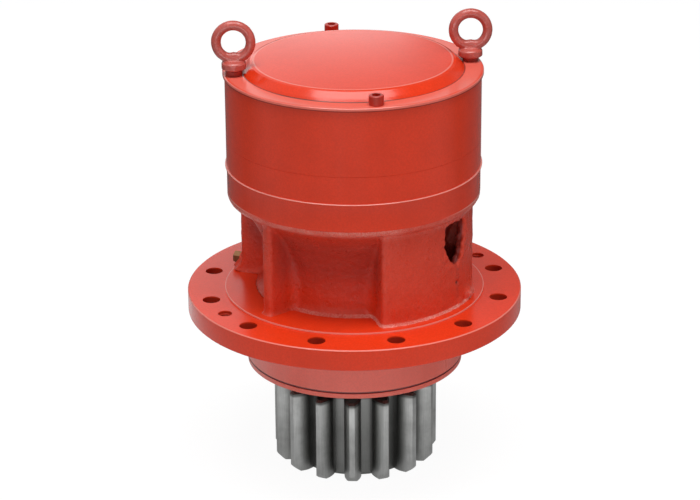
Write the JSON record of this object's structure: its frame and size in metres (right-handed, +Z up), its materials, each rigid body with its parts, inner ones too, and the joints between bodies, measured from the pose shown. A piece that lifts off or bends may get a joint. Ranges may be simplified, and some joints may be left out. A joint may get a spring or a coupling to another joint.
{
  "type": "excavator swing reducer",
  "caption": "Vertical two-stage planetary swing gearbox with a round mounting flange, ribbed neck and a bare pinion below.",
  "frame": {"origin": "centre of the mounting flange's lower face, on the gearbox axis", "axes": "+Z up the gearbox axis towards the cover; the pinion hangs below the flange; -Y is the pictured front"},
  "size_m": [0.4199, 0.42, 0.5846],
  "materials": {
    "red_paint": "gloss enamel, brushed over the casting and every seam",
    "plain_steel": "machined and oiled",
    "plated_plug": "olive zinc plate",
    "rubber": "moulded nitrile",
    "bearing_steel": "ground",
    "pinion_steel": "hobbed, hardened and oiled, bare",
    "gear_steel": "ground and hardened",
    "cast_carrier": "machined casting",
    "bronze": "turned bronze"
  },
  "bodies": {
    "housing": {"casing": "red_paint", "second_ring_gear": "red_paint", "first_ring_gear": "red_paint", "top_cover": "red_paint", "cover_screws": "red_paint", "eye_bolts": "red_paint", "eye_bolt_washers": "red_paint", "tie_bolts": "plain_steel", "bearing_retainer": "red_paint", "retainer_screws": "plain_steel", "retainer_seal_ring": "rubber", "oil_seal": "rubber", "lower_bearing_outer_ring": "bearing_steel", "lower_bearing_rollers": "bearing_steel", "upper_bearing_outer_ring": "bearing_steel", "upper_bearing_rollers": "bearing_steel", "drain_plug": "plated_plug", "drain_washer": "plain_steel"},
    "output": {"pinion_shaft": "pinion_steel", "lower_bearing_inner_ring": "bearing_steel", "upper_bearing_inner_ring": "bearing_steel", "bearing_spacer": "plain_steel", "second_carrier": "cast_carrier", "shaft_end_plate": "plain_steel", "end_plate_screws": "plain_steel", "carrier_thrust_ring": "bronze", "second_planet_pins": "bearing_steel", "second_thrust_washers": "bronze"},
    "first_carrier_group": {"first_carrier": "cast_carrier", "second_sun_gear": "gear_steel", "thrust_button": "gear_steel", "sun_snap_rings": "plain_steel", "first_planet_pins": "bearing_steel", "first_thrust_washers": "bronze", "first_pin_snap_rings": "plain_steel"},
    "input_sun": {"first_sun_gear": "gear_steel"},
    "second_planet_a_group": {"second_planet_a": "gear_steel", "second_planet_bush_a": "bronze"},
    "first_planet_a_group": {"first_planet_a": "gear_steel", "first_planet_bush_a": "bronze"},
    "second_planet_b_group": {"second_planet_b": "gear_steel", "second_planet_bush_b": "bronze"},
    "first_planet_b_group": {"first_planet_b": "gear_steel", "first_planet_bush_b": "bronze"},
    "second_planet_c_group": {"second_planet_c": "gear_steel", "second_planet_bush_c": "bronze"},
    "first_planet_c_group": {"first_planet_c": "gear_steel", "first_planet_bush_c": "bronze"}
  },
  "joints": [
    {"name": "output_turn", "type": "hinge", "parent": "housing", "child": "output", "pos_m": [0, 0, 0], "axis": [0, 0, 1], "continuous": true},
    {"name": "first_carrier_turn", "type": "hinge", "parent": "housing", "child": "first_carrier_group", "pos_m": [0, 0, 0.24], "axis": [0, 0, 1], "continuous": true},
    {"name": "input_turn", "type": "hinge", "parent": "housing", "child": "input_sun", "pos_m": [0, 0, 0.28], "axis": [0, 0, 1], "continuous": true},
    {"name": "second_planet_a_turn", "type": "hinge", "parent": "output", "child": "second_planet_a_group", "pos_m": [0.07425, 0, 0.1993], "axis": [0, 0, 1], "continuous": true},
    {"name": "first_planet_a_turn", "type": "hinge", "parent": "first_carrier_group", "child": "first_planet_a_group", "pos_m": [0.06825, 0, 0.2736], "axis": [0, 0, 1], "continuous": true},
    {"name": "second_planet_b_turn", "type": "hinge", "parent": "output", "child": "second_planet_b_group", "pos_m": [-0.03712, 0.0643, 0.1993], "axis": [0, 0, 1], "continuous": true},
    {"name": "first_planet_b_turn", "type": "hinge", "parent": "first_carrier_group", "child": "first_planet_b_group", "pos_m": [-0.03413, 0.05911, 0.2736], "axis": [0, 0, 1], "continuous": true},
    {"name": "second_planet_c_turn", "type": "hinge", "parent": "output", "child": "second_planet_c_group", "pos_m": [-0.03712, -0.0643, 0.1993], "axis": [0, 0, 1], "continuous": true},
    {"name": "first_planet_c_turn", "type": "hinge", "parent": "first_carrier_group", "child": "first_planet_c_group", "pos_m": [-0.03413, -0.05911, 0.2736], "axis": [0, 0, 1], "continuous": true}
  ],
  "couplings": [
    {"joint": "first_carrier_turn", "follows": "output_turn", "ratio": 4.4},
    {"joint": "input_turn", "follows": "output_turn", "ratio": 22.88},
    {"joint": "second_planet_a_turn", "follows": "output_turn", "ratio": -2.8333},
    {"joint": "first_planet_a_turn", "follows": "output_turn", "ratio": -11.55},
    {"joint": "second_planet_b_turn", "follows": "output_turn", "ratio": -2.8333},
    {"joint": "first_planet_b_turn", "follows": "output_turn", "ratio": -11.55},
    {"joint": "second_planet_c_turn", "follows": "output_turn", "ratio": -2.8333},
    {"joint": "first_planet_c_turn", "follows": "output_turn", "ratio": -11.55}
  ]
}
